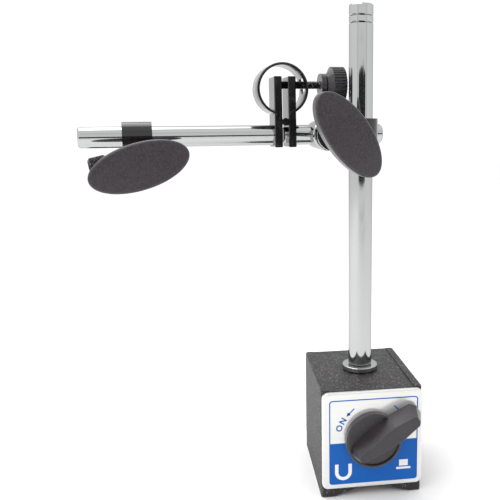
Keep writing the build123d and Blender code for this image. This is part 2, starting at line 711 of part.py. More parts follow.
with BuildPart() as fine_knob:
    with BuildSketch(side(swing, x=FINE_HUB_X, y=ROD_Y, z=FINE_Z)):
        Circle(FINE_HUB_R)
    extrude(amount=FINE_HUB_T)
    with BuildSketch(side(swing, x=FINE_HUB_X + FINE_HUB_T, y=ROD_Y, z=FINE_Z)):
        Circle(FINE_NECK_R)
    with BuildSketch(side(swing, x=FINE_BORE_END, y=ROD_Y, z=FINE_Z)):
        Circle(FINE_CONE_R)
    loft()
    with BuildSketch(side(swing, x=FINE_BORE_END, y=ROD_Y, z=FINE_Z)):
        Circle(FINE_KNOB_R)
        with PolarLocations(FINE_KNOB_R, FINE_FLUTES):
            Circle(FINE_FLUTE_R, mode=Mode.SUBTRACT)
    extrude(amount=FINE_KNOB_T)
    with BuildSketch(side(swing, x=FINE_HUB_X, y=ROD_Y, z=FINE_Z)):
        Circle(FINE_R + RUN)
    extrude(amount=FINE_HUB_T + FINE_CONE_T, mode=Mode.SUBTRACT)
save(fine_knob, "fine_knob")

# ------------------------------------------------------------------ rods

SHORT_ROD_LEFT = RIGHT_JAW_X - JAW_T
with BuildPart() as short_rod:
    with BuildSketch(side(swing, x=SHORT_ROD_LEFT, y=ROD_Y)):
        Circle(ROD_R)
    extrude(amount=ROD_RIGHT - SHORT_ROD_LEFT)
    chamfer(short_rod.faces().sort_by(Axis(swing.origin, swing.x_dir))[-1].edges(), ROD_CHAMFER)
    with BuildSketch(side(swing, x=SHORT_ROD_LEFT, y=ROD_Y)):
        Circle(SPIGOT_R)
    extrude(amount=-SPIGOT_L)
    fillet(short_rod.faces().sort_by(Axis(swing.origin, swing.x_dir))[0].edges(), SPIGOT_L / 2)
save(short_rod, "short_rod")

with BuildPart() as long_rod:
    with BuildSketch(side(swing, x=ROD_LEFT, y=ROD_Y)):
        Circle(ROD_R)
    extrude(amount=LEFT_JAW_X + JAW_T - ROD_LEFT)
    chamfer(long_rod.faces().sort_by(Axis(swing.origin, swing.x_dir))[0].edges(), ROD_CHAMFER)
save(long_rod, "long_rod")

# ------------------------------------------------------------------ clamp on the long rod

# the strap's plane looks along the rod, with its tails pointing down
rod_strap_plane = Plane(
    swing.from_local_coords(Vector(ROD_CLAMP_X, ROD_Y, 0)), x_dir=swing.z_dir, z_dir=swing.x_dir
)
ROD_TAIL = TAIL_GAP / 2 + ROD_STRAP_T
rod_strap = make_strap(rod_strap_plane, ROD_R + RUN, ROD_STRAP_T, ROD_STRAP_H, ROD_BOLT_DROP)
save(rod_strap, "rod_strap")

ROD_WASHER_BACK = ROD_Y - ROD_TAIL
ROD_HUB_BACK = ROD_WASHER_BACK - WASHER_T - FACE
rod_washer = make_washer(swing, ROD_CLAMP_X, ROD_WASHER_BACK, -ROD_BOLT_DROP)
save(rod_washer, "rod_washer")
rod_knob = make_oval_knob(
    swing, ROD_CLAMP_X, ROD_HUB_BACK, ROD_Y - OVAL_FRONT, -ROD_BOLT_DROP, ROD_KNOB_ANGLE
)
save(rod_knob, "rod_knob")
rod_knob_insert = make_insert(swing, ROD_CLAMP_X, ROD_HUB_BACK, -ROD_BOLT_DROP)
save(rod_knob_insert, "rod_knob_insert")

HOLDER_FRONT = ROD_Y + HOLDER_Y - HOLDER_SIDE / 2
HOLDER_BACK = HOLDER_FRONT + HOLDER_SIDE
ROD_BOLT_TIP = ROD_HUB_BACK - BOLT_GRIP

with BuildPart() as holder_collar:
    with BuildSketch(front(swing, x=ROD_CLAMP_X, y=HOLDER_FRONT - FACE, z=-ROD_BOLT_DROP)):
        Circle(WASHER_R)
        Circle(BOLT_R + RUN, mode=Mode.SUBTRACT)
    extrude(amount=HOLDER_FRONT - FACE - ROD_Y - ROD_TAIL)
save(holder_collar, "holder_collar")

with BuildPart() as rod_bolt:
    with BuildSketch(front(swing, x=ROD_CLAMP_X, y=HOLDER_BACK + FACE + BOLT_HEAD_T, z=-ROD_BOLT_DROP)):
        Circle(BOLT_HEAD_R)
    extrude(amount=BOLT_HEAD_T)
    fillet(rod_bolt.faces().sort_by(Axis(swing.origin, swing.y_dir))[-1].edges(), BOLT_HEAD_ROUND)
    with BuildSketch(front(swing, x=ROD_CLAMP_X, y=HOLDER_BACK + FACE, z=-ROD_BOLT_DROP)):
        Circle(BOLT_R)
    extrude(amount=HOLDER_BACK + FACE - ROD_BOLT_TIP)
    chamfer(rod_bolt.faces().sort_by(Axis(swing.origin, swing.y_dir))[0].edges(), BOLT_END)
save(rod_bolt, "rod_bolt")

# ------------------------------------------------------------------ stem holder

holder = turned(swing, ROD_CLAMP_X, ROD_Y + HOLDER_Y, -ROD_BOLT_DROP, HOLDER_TILT)
STEM_SCREW_TIP = STEM_X - STEM_R

with BuildPart() as stem_holder:
    with BuildSketch(side(holder, x=HOLDER_LEFT)):
        Rectangle(HOLDER_SIDE, HOLDER_SIDE)
    extrude(amount=HOLDER_RIGHT - HOLDER_LEFT)
    fillet(stem_holder.edges().filter_by(Axis(holder.origin, holder.x_dir)), HOLDER_ROUND)
    with BuildSketch(front(holder, y=HOLDER_SIDE / 2)):
        Circle(BOLT_R + RUN)
    extrude(amount=HOLDER_SIDE, mode=Mode.SUBTRACT)
    with BuildSketch(level(holder, x=STEM_X, z=-HOLDER_SIDE / 2)):
        Circle(STEM_R)
    extrude(amount=HOLDER_SIDE, mode=Mode.SUBTRACT)
    with BuildSketch(side(holder, x=HOLDER_LEFT)):
        Circle(STEM_SCREW_R + RUN)
    extrude(amount=STEM_X - HOLDER_LEFT, mode=Mode.SUBTRACT)
save(stem_holder, "stem_holder")

HEAD_RIGHT = HOLDER_LEFT - FREE
with BuildPart() as stem_screw:
    with BuildSketch(side(holder, x=HEAD_RIGHT - STEM_HEAD_L)):
        Circle(STEM_HEAD_R)
    extrude(amount=STEM_HEAD_L)
    chamfer(stem_screw.edges(), STEM_HEAD_EDGE)
    with BuildSketch(side(holder, x=HEAD_RIGHT)):
        Circle(STEM_SCREW_R)
    extrude(amount=STEM_SCREW_TIP - HEAD_RIGHT)
save(stem_screw, "stem_screw")
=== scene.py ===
"""Looks of a switchable magnetic base stand: its finishes, label print, knurls, threads and stage.

Lengths are metres in the frame of the packed model: +X right, +Y back, +Z up, with the
origin on the table under the post.
"""

import json
from math import cos, pi, radians, sin

import bmesh
import bpy
from bpy.props import FloatProperty, FloatVectorProperty, IntProperty, PointerProperty
from mathutils import Matrix, Vector


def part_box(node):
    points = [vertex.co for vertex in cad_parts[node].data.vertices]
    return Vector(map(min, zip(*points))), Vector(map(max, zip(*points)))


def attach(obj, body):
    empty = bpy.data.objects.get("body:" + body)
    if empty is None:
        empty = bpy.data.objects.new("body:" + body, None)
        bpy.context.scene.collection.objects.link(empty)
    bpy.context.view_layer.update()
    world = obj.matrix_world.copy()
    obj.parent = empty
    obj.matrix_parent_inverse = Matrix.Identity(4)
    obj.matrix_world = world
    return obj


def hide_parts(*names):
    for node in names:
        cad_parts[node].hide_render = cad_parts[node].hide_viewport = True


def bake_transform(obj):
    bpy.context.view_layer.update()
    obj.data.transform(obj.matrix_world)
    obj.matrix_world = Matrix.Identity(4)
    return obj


bl_info = {
    "name": "Magnetic base stand",
    "version": (1, 0, 0),
    "blender": (4, 5, 0),
    "location": "View3D > Sidebar > Stand",
    "description": "Finishes and details a magnetic base stand",
    "category": "Object",
}

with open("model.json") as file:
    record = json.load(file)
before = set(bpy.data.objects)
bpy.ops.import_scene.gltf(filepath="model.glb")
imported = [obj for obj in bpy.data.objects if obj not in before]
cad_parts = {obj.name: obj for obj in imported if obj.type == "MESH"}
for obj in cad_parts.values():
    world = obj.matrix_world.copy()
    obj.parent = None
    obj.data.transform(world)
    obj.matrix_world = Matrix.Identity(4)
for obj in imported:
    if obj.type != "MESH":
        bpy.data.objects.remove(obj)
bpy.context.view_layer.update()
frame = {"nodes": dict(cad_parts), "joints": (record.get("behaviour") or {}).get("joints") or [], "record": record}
NODES = frame["nodes"]
JOINTS = {joint["name"]: joint for joint in frame["joints"]}
MM = 0.001
SOLE_HEIGHT = 0.3 * MM  # the bare steel ends this high

# the arm's directions: along the rods, to the back, and up
ALONG = Vector(JOINTS["rod_turn"]["axis"])
BACK = -Vector(JOINTS["fine_tilt"]["axis"])
UP = ALONG.cross(BACK)
PIVOT = Vector(JOINTS["fine_tilt"]["pos_m"])
KNOB_AXIS = Vector(JOINTS["switch_turn"]["pos_m"])


# ------------------------------------------------------------------ sizes and colours


def length(name, description, default):
    """A length that a user can change."""
    return FloatProperty(name=name, description=description, default=default, unit="LENGTH")


def colour(name, description, default):
    """A colour that a user can change."""
    return FloatVectorProperty(
        name=name, description=description, default=default, subtype="COLOR", min=0, max=1
    )


class LabelSizes(bpy.types.PropertyGroup):
    """Sizes of the print on the front plate."""

    ink: length("Ink", "Thickness of the printed film", 0.00004)
    middle: length("Middle", "Where the outline's middle is, across", 0.0005)
    half_width: length("Half width", "Half the outline's width", 0.02195)
    low: length("Low", "The outline's lower edge", 0.0076)
    high: length("High", "The outline's upper edge", 0.0506)
    corner: length("Corner", "Radius of the outline's corners", 0.0016)
    line: length("Line", "Width of the outline", 0.00055)
    field_top: length("Field top", "Height of the blue field's upper edge", 0.0288)
    spindle: length("Spindle", "Radius left bare round the knob's spindle", 0.0056)
    letter: length("Letter", "Size of the letters", 0.0041)
    bold: FloatProperty(name="Bold", description="Thickening, as a share of a letter", default=0.03)
    letter_ring: length("Letter ring", "Radius that the letters stand on", 0.0162)
    arrow_line: length("Arrow line", "Width of an arrow's shaft", 0.00055)
    arrow_head: length("Arrow head", "Radius of an arrow's head", 0.0014)


class KnurlSizes(bpy.types.PropertyGroup):
    """Sizes of the knurled screw in the stem holder."""

    head: length("Head", "Length of the knurled head", 0.009)
    shank: length("Shank", "Radius of the shank", 0.0025)
    depth: length("Depth", "Depth of the knurl", 0.00042)
    edge: length("Edge", "Bevel at the head's two ends", 0.0007)
    around: IntProperty(name="Around", description="Diamonds round the head", default=38)
    rows: IntProperty(name="Rows", description="Diamonds along the head", default=7)


class ScrewSizes(bpy.types.PropertyGroup):
    """Sizes of the fine adjuster's screw."""

    pitch: length("Pitch", "Pitch of the thread", 0.0007)
    depth: length("Depth", "Depth of the thread", 0.00032)
    tip: length("Tip", "Rounding of the tip", 0.0008)


class BandSizes(bpy.types.PropertyGroup):
    """Sizes of the adjuster's spring band."""

    rise: length("Rise", "The band's centre above the pivot", 0.016)
    radius: length("Radius", "Outer radius", 0.0128)
    thickness: length("Thickness", "Thickness of the strip", 0.0012)
    hook: length("Hook", "Half the opening between the two ends", 0.0034)
    hole: length("Hole", "Radius of the screw's hole", 0.0045)
    rise_of_hole: length("Rise of hole", "The hole above the band's centre", 0.0022)
    flex: length("Flex", "Half the stretch in which the band bends", 0.008)
    edge: length("Edge", "Rounding of the strip's edges", 0.0002)
    shift: length("Shift", "The band's centre, left of the pivot", 0.001)


class StageSizes(bpy.types.PropertyGroup):
    """Camera, lights and floor."""

    eye: FloatVectorProperty(
        name="Eye", description="Where the camera stands", default=(-0.0702, -0.34026, 0.17957)
    )
    yaw: FloatProperty(name="Yaw", description="Turn to the right", default=0.149)
    pitch: FloatProperty(name="Pitch", description="Look down", default=0.1587)
    roll: FloatProperty(name="Roll", description="Roll", default=-0.0047)
    lens: FloatProperty(name="Lens", description="Focal length in mm", default=49.58)
    shift: FloatVectorProperty(
        name="Shift", description="Lens shift", default=(-0.1464, -0.0244), size=2
    )
    sky: FloatProperty(name="Sky", description="Strength of the surrounding light", default=1.06)
    floor: length("Floor", "Half the floor's width", 3.0)
    card_height: length("Card height", "Height of the dark card behind the camera", 0.21)
    card_distance: length("Card distance", "The dark card's distance in front", 0.9)
    card_width: length("Card width", "The dark card's width", 1.1)


class StandColours(bpy.types.PropertyGroup):
    """Colours of the finishes."""

    paint: colour("Paint", "Wrinkle paint", (0.017, 0.0145, 0.016))
    silver: colour("Silver", "Brushed label plate", (0.78, 0.78, 0.77))
    blue: colour("Blue", "Label ink", (0.0, 0.095, 0.40))
    chrome: colour("Chrome", "Chrome plate", (0.50, 0.515, 0.51))
    zinc: colour("Zinc", "Zinc plate", (0.62, 0.62, 0.60))
    oxide: colour("Oxide", "Polished black oxide", (0.006, 0.0052, 0.006))
    plastic: colour("Plastic", "Black plastic", (0.016, 0.012, 0.016))


# ------------------------------------------------------------------ material nodes


class Link:
    """An output socket, with sums and comparisons written as Python."""

    def __init__(self, finish, socket):
        self.finish = finish
        self.socket = socket

    def math(self, operation, *values):
        return self.finish.node("ShaderNodeMath", {"operation": operation}, dict(enumerate(values)))

    def __add__(self, other):
        return self.math("ADD", self, other)

    def __sub__(self, other):
        return self.math("SUBTRACT", self, other)

    def __rsub__(self, other):
        return self.math("SUBTRACT", other, self)

    def __mul__(self, other):
        return self.math("MULTIPLY", self, other)

    def __gt__(self, other):
        return self.math("GREATER_THAN", self, other)

    def __lt__(self, other):
        return self.math("LESS_THAN", self, other)

    __radd__ = __add__
    __rmul__ = __mul__


class Finish:
    """A material under construction."""

    def __init__(self, name):
        self.material = bpy.data.materials.new(name)
        self.material.use_nodes = True
        self.tree = self.material.node_tree
        self.shader = self.tree.nodes["Principled BSDF"]
        self.at = self.node("ShaderNodeTexCoord", {}, {}, "Object")

    def node(self, kind, settings, inputs, output=0):
        """Add a node with its settings first, then its values or links, and give one output."""
        node = self.tree.nodes.new(kind)
        for name, value in settings.items():
            if name == "stops":
                self.set_stops(node.color_ramp, value)
            else:
                setattr(node, name, value)
        for key, value in inputs.items():
            self.feed(node.inputs[key], value)
        return Link(self, node.outputs[output])

    def set_stops(self, ramp, stops):
        """Give a colour ramp its stops, each a place and a grey."""
        for element, (place, grey) in zip(ramp.elements, stops):
            element.position = place
            element.color = (grey, grey, grey, 1)

    def feed(self, socket, value):
        """Link a socket or set its value."""
        if isinstance(value, Link):
            self.tree.links.new(value.socket, socket)
        elif hasattr(value, "__len__") and len(value) == 3 and len(socket.default_value) == 4:
            socket.default_value = (*value, 1)
        else:
            socket.default_value = value

    def stretched(self, scale):
        """Object coordinates stretched by a scale along each axis."""
        return self.node("ShaderNodeMapping", {}, {"Vector": self.at, "Scale": scale})

    def noise(self, scale, detail=2.0, at=None, rough=0.5):
        return self.node(
            "ShaderNodeTexNoise",
            {},
            {"Vector": at or self.at, "Scale": scale, "Detail": detail, "Roughness": rough},
        )

    def cells(self, scale, at=None):
        return self.node("ShaderNodeTexVoronoi", {}, {"Vector": at or self.at, "Scale": scale})

    def ramp(self, value, low, high):
        """Spread a value's stretch from low to high over 0 to 1."""
        return self.node("ShaderNodeValToRGB", {"stops": ((low, 0), (high, 1))}, {0: value})

    def mix(self, share, a, b):
        """A colour between two colours."""
        return self.node("ShaderNodeMix", {"data_type": "RGBA"}, {0: share, 6: a, 7: b}, 2)

    def height(self):
        """Height above the table."""
        return self.node("ShaderNodeSeparateXYZ", {}, {0: self.at}, 2)

    def bump(self, height, depth, strength=1.0):
        return self.node(
            "ShaderNodeBump", {}, {"Height": height, "Distance": depth, "Strength": strength}, 0
        )

    def surface(self, **sockets):
        """Set the shader's sockets, named with underscores for spaces."""
        for name, value in sockets.items():
            self.feed(self.shader.inputs[name.replace("_", " ")], value)
        return self.material


def tint(base, factor):
    """A colour made lighter or darker."""
    return tuple(min(1.0, channel * factor) for channel in base)


def wrinkle_paint(colours):
    """Black wrinkle paint with fine light specks, and bare ground steel on the soles."""
    f = Finish("black_paint")
    wrinkle = f.noise(850, 3)
    broad = f.noise(60, 2)
    speck = (f.cells(1000) < 0.27) * (f.noise(240) > 0.47)
    worn = f.ramp(f.noise(420, 4), 0.62, 0.75)
    paint = f.mix(broad, tint(colours.paint, 0.8), tint(colours.paint, 1.5))
    paint = f.mix(worn * 0.35, paint, tint(colours.paint, 3.0))
    paint = f.mix(speck * 0.75, paint, (0.27, 0.26, 0.26))
    sole = f.height() < SOLE_HEIGHT
    lines = f.noise(900, 2, f.stretched((1, 0.02, 1)))
    steel = f.mix(lines, (0.38, 0.37, 0.35), (0.62, 0.61, 0.58))
    bumps = wrinkle * (1 - sole) + lines * sole * 0.2
    return f.surface(
        Base_Color=f.mix(sole, paint, steel),
        Roughness=0.44 + 0.22 * wrinkle - 0.12 * sole,
        Metallic=sole,
        Normal=f.bump(bumps, 0.0003, 1.0),
        Specular_IOR_Level=0.45,
    )


def spacer_metal(colours):
    """Sawn brass of the strip under the base."""
    f = Finish("brass")
    saw = f.noise(700, 3, f.stretched((1, 0.05, 1)))
    tarnish = f.ramp(f.noise(90, 4), 0.4, 0.7)
    metal = f.mix(saw, (0.55, 0.40, 0.16), (0.75, 0.58, 0.27))
    return f.surface(
        Base_Color=f.mix(tarnish * 0.6, metal, (0.23, 0.15, 0.07)),
        Metallic=1.0,
        Roughness=0.3 + 0.25 * tarnish,
        Normal=f.bump(saw, 0.00005, 0.5),
    )


def label_silver(colours):
    """Brushed plate: fine level brushing over a satin ground."""
    f = Finish("label_plate")
    brush = f.noise(1900, 3, f.stretched((0.02, 1, 1)))
    broad = f.noise(70, 2, f.stretched((0.3, 1, 1)))
    metal = f.mix(brush, tint(colours.silver, 0.93), tint(colours.silver, 1.06))
    return f.surface(
        Base_Color=f.mix(broad * 0.3, metal, (0.83, 0.84, 0.82)),
        Metallic=0.45,
        Roughness=0.12 + 0.04 * brush + 0.03 * broad,
        Normal=f.bump(brush, 0.00002, 0.35),
        Coat_Roughness=0.12,
        Coat_Weight=0.25,
    )


def ink(name, shade, light):
    """Screen-printed ink with a faint mottle."""
    f = Finish(name)
    mottle = f.noise(2600, 3)
    broad = f.noise(120, 2)
    return f.surface(
        Base_Color=f.mix(mottle * 0.6 + broad * 0.3, shade, light),
        Roughness=0.34 + 0.12 * mottle,
        Normal=f.bump(mottle, 0.00001, 0.4),
        Specular_IOR_Level=0.25,
    )


def chrome_plate(colours):
    """Polished chrome with hair-fine handling marks and a little haze."""
    f = Finish("chrome")
    haze = f.ramp(f.noise(55, 4), 0.45, 0.8)
    hairs = f.ramp(f.noise(1400, 2, f.stretched((1, 1, 0.04))), 0.62, 0.7)
    metal = f.mix(haze * 0.6, colours.chrome, tint(colours.chrome, 0.93))
    return f.surface(
        Base_Color=f.mix(hairs * 0.12, metal, tint(colours.chrome, 0.75)),
        Metallic=1.0,
        Roughness=0.045 + 0.05 * haze + 0.05 * hairs,
        Normal=f.bump(f.noise(300, 2), 0.00001, 0.12),
        Specular_Tint=(0.62, 0.62, 0.62),
    )


def zinc_plate(colours):
    """Bright zinc, a little cloudy."""
    f = Finish("zinc_steel")
    grain = f.noise(800, 4)
    cloud = f.noise(120, 2)
    return f.surface(
        Base_Color=f.mix(cloud, tint(colours.zinc, 0.8), tint(colours.zinc, 1.15)),
        Metallic=1.0,
        Roughness=0.24 + 0.16 * grain,
        Normal=f.bump(grain, 0.00002, 0.4),
    )


def black_oxide(colours):
    """Polished black oxide, slightly brown where it is thin."""
    f = Finish("black_oxide")
    polish = f.noise(900, 3, f.stretched((1, 1, 0.12)))
    thin = f.ramp(f.noise(260, 4), 0.55, 0.8)
    black = f.mix(thin * 0.5, colours.oxide, (0.045, 0.038, 0.036))
    return f.surface(
        Base_Color=black,
        Metallic=0.0,
        Roughness=0.12 + 0.1 * polish + 0.08 * thin,
        Normal=f.bump(polish, 0.000012, 0.35),
        Specular_IOR_Level=0.5,
        Coat_Weight=0.3 + 0.1 * polish,
        Coat_Roughness=0.06,
    )


def knurl_oxide(colours):
    """Black oxide whose knurl tips have rubbed bright."""
    f = Finish("knurl_oxide")
    fleck = f.ramp(f.noise(1300, 3), 0.56, 0.66)
    grain = f.noise(2600, 2)
    return f.surface(
        Base_Color=f.mix(fleck * 0.8, tint(colours.oxide, 2.2), (0.34, 0.32, 0.32)),
        Metallic=0.5,
        Roughness=0.26 + 0.16 * grain,
        Normal=f.bump(grain, 0.00003, 0.5),
        Specular_IOR_Level=0.7,
    )


def spring_steel(colours):
    """Blackened spring strip, brushed along its length."""
    f = Finish("spring_steel")
    brush = f.noise(1500, 3, f.stretched((1, 0.05, 1)))
    warm = f.noise(130, 2)
    return f.surface(
        Base_Color=f.mix(warm, tint(colours.oxide, 1.0), tint(colours.oxide, 2.6)),
        Metallic=0.0,
        Roughness=0.1 + 0.12 * brush,
        Normal=f.bump(brush, 0.000012, 0.4),
        Specular_IOR_Level=0.5,
        Coat_Weight=0.3 + 0.1 * warm,
        Coat_Roughness=0.06,
    )


def moulded(name, shade, grain_size, base_roughness):
    """Black moulded plastic with a spark-eroded grain and faint rubbed patches."""
    f = Finish(name)
    grain = f.noise(grain_size, 3, None, 0.6)
    rubbed = f.ramp(f.noise(75, 3), 0.45, 0.75)
    dust = (f.cells(1700) < 0.11) * (f.noise(160) > 0.52)
    plastic = f.mix(f.ramp(grain, 0.4, 0.62), tint(shade, 0.55), tint(shade, 1.7))
    plastic = f.mix(rubbed * 0.4, plastic, tint(shade, 1.9))
    return f.surface(
        Base_Color=f.mix(dust * 0.35, plastic, (0.24, 0.23, 0.24)),
        Roughness=base_roughness + 0.14 * grain - 0.06 * rubbed,
        Normal=f.bump(grain, 0.0001, 0.7),
        Specular_IOR_Level=0.65,
        Sheen_Weight=0.3,
        Sheen_Roughness=0.35,
    )


def plain_metal(name, dark, light, roughness):
    """Hidden metal: sintered, cast or turned."""
    f = Finish(name)
    grain = f.noise(900, 4)
    return f.surface(
        Base_Color=f.mix(grain, dark, light),
        Metallic=1.0,
        Roughness=roughness + 0.15 * grain,
        Normal=f.bump(grain, 0.00006, 0.5),
    )


def make_finishes(colours):
    """Every finish, by its slot in the record."""
    plastic = tuple(colours.plastic)
    return {
        "black_paint": wrinkle_paint(colours),
        "brass": spacer_metal(colours),
        "label_plate": label_silver(colours),
        "chrome": chrome_plate(colours),
        "zinc_steel": zinc_plate(colours),
        "black_oxide": black_oxide(colours),
        "spring_steel": spring_steel(colours),
        "knob_plastic": moulded("knob_plastic", tint(plastic, 1.25), 1300, 0.34),
        "fine_knob_plastic": moulded("fine_knob_plastic", tint(plastic, 0.8), 1900, 0.22),
        "switch_plastic": moulded("switch_plastic", plastic, 1600, 0.3),
        "magnet": plain_metal("magnet", (0.10, 0.10, 0.11), (0.2, 0.2, 0.21), 0.55),
        "soft_iron": plain_metal("soft_iron", (0.22, 0.21, 0.2), (0.38, 0.37, 0.36), 0.4),
        "aluminium": plain_metal("aluminium", (0.55, 0.55, 0.56), (0.76, 0.76, 0.77), 0.35),
        "knurl": knurl_oxide(colours),
        "blue_ink": ink("blue_ink", tuple(colours.blue), tint(colours.blue, 1.25)),
        "white_ink": ink("white_ink", (0.80, 0.81, 0.82), (0.92, 0.92, 0.92)),
    }


FINISHES = {}


# ------------------------------------------------------------------ modelling


def deselect():
    bpy.ops.object.select_all(action="DESELECT")


def name_piece(name, material):
    """Name the active object, and give it its finish."""
    piece = bpy.context.object
    piece.name = piece.data.name = name
    piece.data.materials.clear()
    piece.data.materials.append(FINISHES[material])
    return piece


def place(piece, matrix):
    """Move a piece to its place, and put the place in its mesh."""
    deselect()
    piece.select_set(True)
    bpy.context.view_layer.objects.active = piece
    piece.matrix_world = matrix
    bpy.ops.object.transform_apply(location=True, rotation=True, scale=True)


def pick(mode, test):
    """In edit mode, select the faces, edges or vertices that pass a test, and nothing else."""
    bpy.ops.mesh.select_mode(type=mode)
    bpy.ops.mesh.select_all(action="DESELECT")
    mesh = bmesh.from_edit_mesh(bpy.context.object.data)
    items = {"FACE": mesh.faces, "EDGE": mesh.edges, "VERT": mesh.verts}[mode]
    for item in items:
        item.select_set(bool(test(item)))
    bmesh.update_edit_mesh(bpy.context.object.data)


def edit():
    bpy.ops.object.mode_set(mode="EDIT")


def leave_edit():
    """Make the normals agree and go back to object mode."""
    bpy.ops.mesh.select_all(action="SELECT")
    bpy.ops.mesh.remove_doubles(threshold=1e-7)
    bpy.ops.mesh.normals_make_consistent(inside=False)
    bpy.ops.object.mode_set(mode="OBJECT")


def apply_modifier(piece, kind, **settings):
    """Add a modifier and apply it."""
    modifier = piece.modifiers.new(kind, kind)
    for name, value in settings.items():
        setattr(modifier, name, value)
    deselect()
    piece.select_set(True)
    bpy.context.view_layer.objects.active = piece
    bpy.ops.object.modifier_apply(modifier=modifier.name)


def cut(piece, drill):
    """Cut a piece with a drill, which goes."""
    apply_modifier(piece, "BOOLEAN", object=drill, operation="DIFFERENCE", solver="EXACT")
    bpy.data.objects.remove(drill)


def axes(x, y, z, origin):
    """A placement matrix from three directions and an origin."""
    turn = Matrix((x, y, z)).transposed().to_4x4()
    return Matrix.Translation(origin) @ turn


def reach(node, origin, axis):
    """A node's ends along an axis from a point, and its largest radius about it."""
    spots = [vertex.co - origin for vertex in NODES[node].data.vertices]
    along = [spot.dot(axis) for spot in spots]
    radius = max((spot - axis * spot.dot(axis)).length for spot in spots)
    return min(along), max(along), radius


def join(pieces, name, material):
    """Make one piece of several."""
    deselect()
    for piece in pieces:
        piece.select_set(True)
    bpy.context.view_layer.objects.active = pieces[0]
    bpy.ops.object.join()
    return name_piece(name, material)


# ------------------------------------------------------------------ label print


def plate_matrix(x, z, angle=0.0):
    """A place on the plate's face: x right, y up, z out to the front, turned by an angle."""
    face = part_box("label_plate")[0].y
    turn = Matrix.Rotation(angle, 4, "Z")
    return axes(Vector((1, 0, 0)), Vector((0, 0, 1)), Vector((0, -1, 0)), (x, face, z)) @ turn


def raise_ink(thickness):
    """Give the flat shape that is being edited the thickness of the ink."""
    bpy.ops.mesh.select_all(action="SELECT")
    bpy.ops.mesh.extrude_region_move(TRANSFORM_OT_translate={"value": (0, 0, thickness)})


def ink_panel(sizes, low, high, rounded):
    """A flat panel as wide as the outline, whose corners that pass a test are rounded."""
    deselect()
    bpy.ops.mesh.primitive_plane_add(size=1)
    panel = bpy.context.object
    panel.scale = (2 * sizes.half_width, high - low, 1)
    bpy.ops.object.transform_apply(location=False, rotation=False, scale=True)
    edit()
    pick("VERT", rounded)
    bpy.ops.mesh.bevel(offset=sizes.corner, segments=6, affect="VERTICES")
    return panel


class STAND_OT_label_outline(bpy.types.Operator):
    """Print the outline and the blue field on the front plate"""

    bl_idname = "stand.label_outline"
    bl_label = "Label Outline"

    def execute(self, context):
        sizes = context.scene.stand_label
        middle_z = (sizes.low + sizes.high) / 2
        outline = ink_panel(sizes, sizes.low, sizes.high, lambda corner: True)
        bpy.ops.mesh.select_all(action="SELECT")
        bpy.ops.mesh.inset(thickness=sizes.line)
        bpy.ops.mesh.delete(type="FACE")
        raise_ink(sizes.ink)
        leave_edit()
        outline = name_piece("label_outline", "blue_ink")
        place(outline, plate_matrix(sizes.middle, middle_z))
        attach(outline, "base")

        low = sizes.low + sizes.line / 2
        field = ink_panel(sizes, low, sizes.field_top, lambda corner: corner.co.y < 0)
        raise_ink(sizes.ink * 0.8)
        leave_edit()
        field = name_piece("label_field", "blue_ink")
        place(field, plate_matrix(sizes.middle, (low + sizes.field_top) / 2))
        face = plate_matrix(KNOB_AXIS.x, KNOB_AXIS.z).translation
        bpy.ops.mesh.primitive_cylinder_add(
            vertices=48,
            radius=sizes.spindle,
            depth=10 * sizes.ink,
            location=face,
            rotation=(pi / 2, 0, 0),
        )
        cut(field, bpy.context.object)
        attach(field, "base")
        return {"FINISHED"}


def printed_letter(letter, sizes, x, z, angle):
    """One letter as a thin solid on the plate."""
    deselect()
    bpy.ops.object.text_add()
    text = bpy.context.object
    text.data.body = letter
    text.data.size = sizes.letter
    text.data.extrude = sizes.ink / 2
    text.data.offset = sizes.letter * sizes.bold
    text.data.align_x = "CENTER"
    text.data.resolution_u = 6
    bpy.ops.object.convert(target="MESH")
    piece = bpy.context.object
    place(piece, plate_matrix(x, z, angle))
    return piece


def printed_arrow(sizes, start, end):
    """A straight arrow from one point of the plate to another."""
    run = Vector((end[0] - start[0], end[1] - start[1]))
    shaft_length = run.length - sizes.arrow_head
    deselect()
    bpy.ops.mesh.primitive_plane_add(size=1, location=(shaft_length / 2, 0, 0))
    shaft = bpy.context.object
    shaft.scale = (shaft_length, sizes.arrow_line, 1)
    bpy.ops.object.transform_apply(location=True, rotation=True, scale=True)
    bpy.ops.mesh.primitive_circle_add(
        vertices=3, radius=sizes.arrow_head, fill_type="NGON", rotation=(0, 0, -pi / 2)
    )
    head = bpy.context.object
    head.location.x = run.length - sizes.arrow_head
    head.scale = (0.8, 1, 1)
    bpy.ops.object.transform_apply(location=True, rotation=True, scale=True)
    shaft.select_set(True)
    bpy.context.view_layer.objects.active = shaft
    bpy.ops.object.join()
    edit()
    raise_ink(sizes.ink)
    leave_edit()
    place(shaft, plate_matrix(start[0], start[1], run.angle_signed(Vector((1, 0)))))
    return shaft


class STAND_OT_label_marks(bpy.types.Operator):
    """Print ON, OFF and the two arrows round the switch knob"""

    bl_idname = "stand.label_marks"
    bl_label = "Label Marks"

    letters = (("O", 160), ("N", 147), ("O", 37), ("F", 26), ("F", 16.5))
    arrows = (((-9.2, 46.1), (-13.1, 42.2)), ((10.4, 46.5), (14.6, 42.3)))

    def execute(self, context):
        sizes = context.scene.stand_label
        pieces = []
        for letter, degrees_round in self.letters:
            angle = radians(degrees_round)
            x = sizes.letter_ring * cos(angle)
            z = KNOB_AXIS.z + sizes.letter_ring * sin(angle)
            pieces.append(printed_letter(letter, sizes, x, z, angle - pi / 2))
        marks = join(pieces, "label_letters", "blue_ink")
        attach(marks, "base")
        arrows = [
            printed_arrow(sizes, [MM * c for c in start], [MM * c for c in end])
            for start, end in self.arrows
        ]
        arrows = join(arrows, "label_arrows", "blue_ink")
        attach(arrows, "base")
        return {"FINISHED"}


